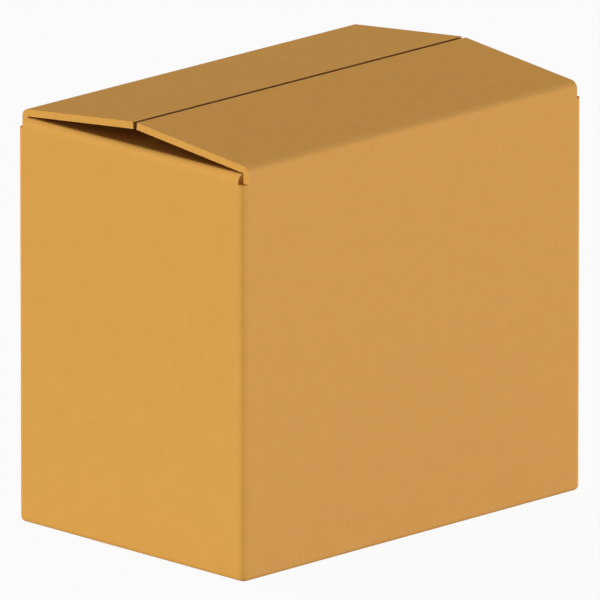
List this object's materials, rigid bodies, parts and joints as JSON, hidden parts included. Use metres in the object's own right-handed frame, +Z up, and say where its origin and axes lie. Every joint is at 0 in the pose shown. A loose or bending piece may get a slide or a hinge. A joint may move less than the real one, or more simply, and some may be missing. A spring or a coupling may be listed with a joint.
{
  "type": "cardboard box",
  "caption": "Rectangular cardboard shipping box folded from slotted double-wall board, with hinged outer top flaps that meet along a centre seam and stand slightly open.",
  "frame": {"origin": "under the middle of the box, on the plane that its bottom stands on", "axes": "+X along the long walls and the seam, +Y across the box from the front flap to the rear flap, +Z up"},
  "size_m": [0.45, 0.3, 0.4153],
  "materials": {
    "kraft_board": "plain brown kraft liner, uncoated and matt"
  },
  "bodies": {
    "carton": {"carton": "kraft_board"},
    "front_flap": {"front_top_flap": "kraft_board"},
    "rear_flap": {"rear_top_flap": "kraft_board"}
  },
  "joints": [
    {"name": "front_flap_crease", "type": "hinge", "parent": "carton", "child": "front_flap", "pos_m": [0, -0.14814, 0.39814], "axis": [1, 0, 0], "range_deg": [-6, 174]},
    {"name": "rear_flap_crease", "type": "hinge", "parent": "carton", "child": "rear_flap", "pos_m": [0, 0.14814, 0.39814], "axis": [-1, 0, 0], "range_deg": [-6, 174]}
  ]
}
